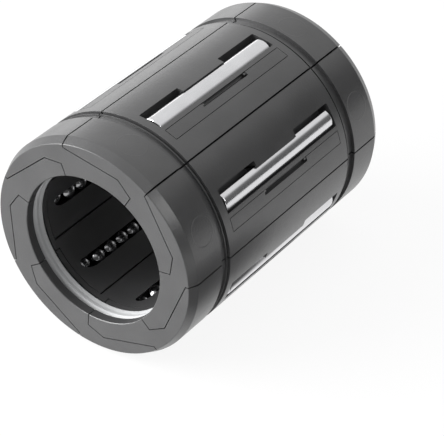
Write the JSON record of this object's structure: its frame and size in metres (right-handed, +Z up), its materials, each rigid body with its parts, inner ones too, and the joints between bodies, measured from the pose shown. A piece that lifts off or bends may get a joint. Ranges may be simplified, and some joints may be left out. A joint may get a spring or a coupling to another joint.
{
  "type": "linear ball bearing",
  "caption": "Closed linear ball bearing: interlocking plastic cage segments with steel raceway plates, recirculating ball circuits and a shaft seal at each end.",
  "frame": {"origin": "centre of the shaft bore at mid-length", "axes": "+Y along the shaft axis from the front face to the rear face, +Z up with the bearing on its side"},
  "size_m": [0.0898, 0.125, 0.0896],
  "materials": {
    "cage_plastic": "fine-grained moulded plastic",
    "lid_plastic": "fine-grained moulded plastic",
    "plate_steel": "ground and polished along its length",
    "ball_steel": "polished",
    "seal_rubber": "smooth"
  },
  "bodies": {
    "cage": {"cage_segment_1": "cage_plastic", "cage_segment_2": "cage_plastic", "cage_segment_3": "cage_plastic", "cage_segment_4": "cage_plastic", "cage_segment_5": "cage_plastic", "cage_segment_6": "cage_plastic", "cage_segment_7": "cage_plastic", "raceway_plate_1": "plate_steel", "raceway_plate_2": "plate_steel", "raceway_plate_3": "plate_steel", "raceway_plate_4": "plate_steel", "raceway_plate_5": "plate_steel", "raceway_plate_6": "plate_steel", "raceway_plate_7": "plate_steel", "return_lid_1": "lid_plastic", "return_lid_2": "lid_plastic", "return_lid_3": "lid_plastic", "return_lid_4": "lid_plastic", "return_lid_5": "lid_plastic", "return_lid_6": "lid_plastic", "return_lid_7": "lid_plastic", "front_seal": "seal_rubber", "rear_seal": "seal_rubber"},
    "loaded_row_1": {"loaded_balls_1": "ball_steel"},
    "return_row_1": {"return_balls_1": "ball_steel"},
    "front_turn_1": {"front_turn_balls_1": "ball_steel"},
    "rear_turn_1": {"rear_turn_balls_1": "ball_steel"},
    "loaded_row_2": {"loaded_balls_2": "ball_steel"},
    "return_row_2": {"return_balls_2": "ball_steel"},
    "front_turn_2": {"front_turn_balls_2": "ball_steel"},
    "rear_turn_2": {"rear_turn_balls_2": "ball_steel"},
    "loaded_row_3": {"loaded_balls_3": "ball_steel"},
    "return_row_3": {"return_balls_3": "ball_steel"},
    "front_turn_3": {"front_turn_balls_3": "ball_steel"},
    "rear_turn_3": {"rear_turn_balls_3": "ball_steel"},
    "loaded_row_4": {"loaded_balls_4": "ball_steel"},
    "return_row_4": {"return_balls_4": "ball_steel"},
    "front_turn_4": {"front_turn_balls_4": "ball_steel"},
    "rear_turn_4": {"rear_turn_balls_4": "ball_steel"},
    "loaded_row_5": {"loaded_balls_5": "ball_steel"},
    "return_row_5": {"return_balls_5": "ball_steel"},
    "front_turn_5": {"front_turn_balls_5": "ball_steel"},
    "rear_turn_5": {"rear_turn_balls_5": "ball_steel"},
    "loaded_row_6": {"loaded_balls_6": "ball_steel"},
    "return_row_6": {"return_balls_6": "ball_steel"},
    "front_turn_6": {"front_turn_balls_6": "ball_steel"},
    "rear_turn_6": {"rear_turn_balls_6": "ball_steel"},
    "loaded_row_7": {"loaded_balls_7": "ball_steel"},
    "return_row_7": {"return_balls_7": "ball_steel"},
    "front_turn_7": {"front_turn_balls_7": "ball_steel"},
    "rear_turn_7": {"rear_turn_balls_7": "ball_steel"}
  },
  "joints": [
    {"name": "loaded_row_1_slide", "type": "slide", "parent": "cage", "child": "loaded_row_1", "axis": [0, 1, 0], "range_m": [-0.0035, 0.0035]},
    {"name": "return_row_1_slide", "type": "slide", "parent": "cage", "child": "return_row_1", "axis": [0, 1, 0], "range_m": [-0.0035, 0.0035]},
    {"name": "front_turn_1_hinge", "type": "hinge", "parent": "cage", "child": "front_turn_1", "pos_m": [0.01052, -0.04092, 0.03426], "axis": [0.2621, 0, -0.965], "range_deg": [-43, 43]},
    {"name": "rear_turn_1_hinge", "type": "hinge", "parent": "cage", "child": "rear_turn_1", "pos_m": [0.01052, 0.04092, 0.03426], "axis": [0.2621, 0, -0.965], "range_deg": [-43, 43]},
    {"name": "loaded_row_2_slide", "type": "slide", "parent": "cage", "child": "loaded_row_2", "axis": [0, 1, 0], "range_m": [-0.0035, 0.0035]},
    {"name": "return_row_2_slide", "type": "slide", "parent": "cage", "child": "return_row_2", "axis": [0, 1, 0], "range_m": [-0.0035, 0.0035]},
    {"name": "front_turn_2_hinge", "type": "hinge", "parent": "cage", "child": "front_turn_2", "pos_m": [0.03334, -0.04092, 0.01313], "axis": [-0.591, 0, -0.8066], "range_deg": [-43, 43]},
    {"name": "rear_turn_2_hinge", "type": "hinge", "parent": "cage", "child": "rear_turn_2", "pos_m": [0.03334, 0.04092, 0.01313], "axis": [-0.591, 0, -0.8066], "range_deg": [-43, 43]},
    {"name": "loaded_row_3_slide", "type": "slide", "parent": "cage", "child": "loaded_row_3", "axis": [0, 1, 0], "range_m": [-0.0035, 0.0035]},
    {"name": "return_row_3_slide", "type": "slide", "parent": "cage", "child": "return_row_3", "axis": [0, 1, 0], "range_m": [-0.0035, 0.0035]},
    {"name": "front_turn_3_hinge", "type": "hinge", "parent": "cage", "child": "front_turn_3", "pos_m": [0.03106, -0.04092, -0.01788], "axis": [-0.9992, 0, -0.0408], "range_deg": [-43, 43]},
    {"name": "rear_turn_3_hinge", "type": "hinge", "parent": "cage", "child": "rear_turn_3", "pos_m": [0.03106, 0.04092, -0.01788], "axis": [-0.9992, 0, -0.0408], "range_deg": [-43, 43]},
    {"name": "loaded_row_4_slide", "type": "slide", "parent": "cage", "child": "loaded_row_4", "axis": [0, 1, 0], "range_m": [-0.0035, 0.0035]},
    {"name": "return_row_4_slide", "type": "slide", "parent": "cage", "child": "return_row_4", "axis": [0, 1, 0], "range_m": [-0.0035, 0.0035]},
    {"name": "front_turn_4_hinge", "type": "hinge", "parent": "cage", "child": "front_turn_4", "pos_m": [0.00539, -0.04092, -0.03543], "axis": [-0.6549, 0, 0.7557], "range_deg": [-43, 43]},
    {"name": "rear_turn_4_hinge", "type": "hinge", "parent": "cage", "child": "rear_turn_4", "pos_m": [0.00539, 0.04092, -0.03543], "axis": [-0.6549, 0, 0.7557], "range_deg": [-43, 43]},
    {"name": "loaded_row_5_slide", "type": "slide", "parent": "cage", "child": "loaded_row_5", "axis": [0, 1, 0], "range_m": [-0.0035, 0.0035]},
    {"name": "return_row_5_slide", "type": "slide", "parent": "cage", "child": "return_row_5", "axis": [0, 1, 0], "range_m": [-0.0035, 0.0035]},
    {"name": "front_turn_5_hinge", "type": "hinge", "parent": "cage", "child": "front_turn_5", "pos_m": [-0.02434, -0.04092, -0.0263], "axis": [0.1825, 0, 0.9832], "range_deg": [-43, 43]},
    {"name": "rear_turn_5_hinge", "type": "hinge", "parent": "cage", "child": "rear_turn_5", "pos_m": [-0.02434, 0.04092, -0.0263], "axis": [0.1825, 0, 0.9832], "range_deg": [-43, 43]},
    {"name": "loaded_row_6_slide", "type": "slide", "parent": "cage", "child": "loaded_row_6", "axis": [0, 1, 0], "range_m": [-0.0035, 0.0035]},
    {"name": "return_row_6_slide", "type": "slide", "parent": "cage", "child": "return_row_6", "axis": [0, 1, 0], "range_m": [-0.0035, 0.0035]},
    {"name": "front_turn_6_hinge", "type": "hinge", "parent": "cage", "child": "front_turn_6", "pos_m": [-0.03574, -0.04092, 0.00263], "axis": [0.8825, 0, 0.4703], "range_deg": [-43, 43]},
    {"name": "rear_turn_6_hinge", "type": "hinge", "parent": "cage", "child": "rear_turn_6", "pos_m": [-0.03574, 0.04092, 0.00263], "axis": [0.8825, 0, 0.4703], "range_deg": [-43, 43]},
    {"name": "loaded_row_7_slide", "type": "slide", "parent": "cage", "child": "loaded_row_7", "axis": [0, 1, 0], "range_m": [-0.0035, 0.0035]},
    {"name": "return_row_7_slide", "type": "slide", "parent": "cage", "child": "return_row_7", "axis": [0, 1, 0], "range_m": [-0.0035, 0.0035]},
    {"name": "front_turn_7_hinge", "type": "hinge", "parent": "cage", "child": "front_turn_7", "pos_m": [-0.02022, -0.04092, 0.02958], "axis": [0.9179, 0, -0.3967], "range_deg": [-43, 43]},
    {"name": "rear_turn_7_hinge", "type": "hinge", "parent": "cage", "child": "rear_turn_7", "pos_m": [-0.02022, 0.04092, 0.02958], "axis": [0.9179, 0, -0.3967], "range_deg": [-43, 43]}
  ],
  "couplings": [
    {"joint": "front_turn_1_hinge", "follows": "loaded_row_1_slide", "rad_per_m": 213.63},
    {"joint": "rear_turn_1_hinge", "follows": "loaded_row_1_slide", "rad_per_m": 213.63},
    {"joint": "return_row_1_slide", "follows": "loaded_row_1_slide", "ratio": -1},
    {"joint": "front_turn_2_hinge", "follows": "loaded_row_2_slide", "rad_per_m": 213.63},
    {"joint": "rear_turn_2_hinge", "follows": "loaded_row_2_slide", "rad_per_m": 213.63},
    {"joint": "return_row_2_slide", "follows": "loaded_row_2_slide", "ratio": -1},
    {"joint": "front_turn_3_hinge", "follows": "loaded_row_3_slide", "rad_per_m": 213.63},
    {"joint": "rear_turn_3_hinge", "follows": "loaded_row_3_slide", "rad_per_m": 213.63},
    {"joint": "return_row_3_slide", "follows": "loaded_row_3_slide", "ratio": -1},
    {"joint": "front_turn_4_hinge", "follows": "loaded_row_4_slide", "rad_per_m": 213.63},
    {"joint": "rear_turn_4_hinge", "follows": "loaded_row_4_slide", "rad_per_m": 213.63},
    {"joint": "return_row_4_slide", "follows": "loaded_row_4_slide", "ratio": -1},
    {"joint": "front_turn_5_hinge", "follows": "loaded_row_5_slide", "rad_per_m": 213.63},
    {"joint": "rear_turn_5_hinge", "follows": "loaded_row_5_slide", "rad_per_m": 213.63},
    {"joint": "return_row_5_slide", "follows": "loaded_row_5_slide", "ratio": -1},
    {"joint": "front_turn_6_hinge", "follows": "loaded_row_6_slide", "rad_per_m": 213.63},
    {"joint": "rear_turn_6_hinge", "follows": "loaded_row_6_slide", "rad_per_m": 213.63},
    {"joint": "return_row_6_slide", "follows": "loaded_row_6_slide", "ratio": -1},
    {"joint": "front_turn_7_hinge", "follows": "loaded_row_7_slide", "rad_per_m": 213.63},
    {"joint": "rear_turn_7_hinge", "follows": "loaded_row_7_slide", "rad_per_m": 213.63},
    {"joint": "return_row_7_slide", "follows": "loaded_row_7_slide", "ratio": -1}
  ]
}
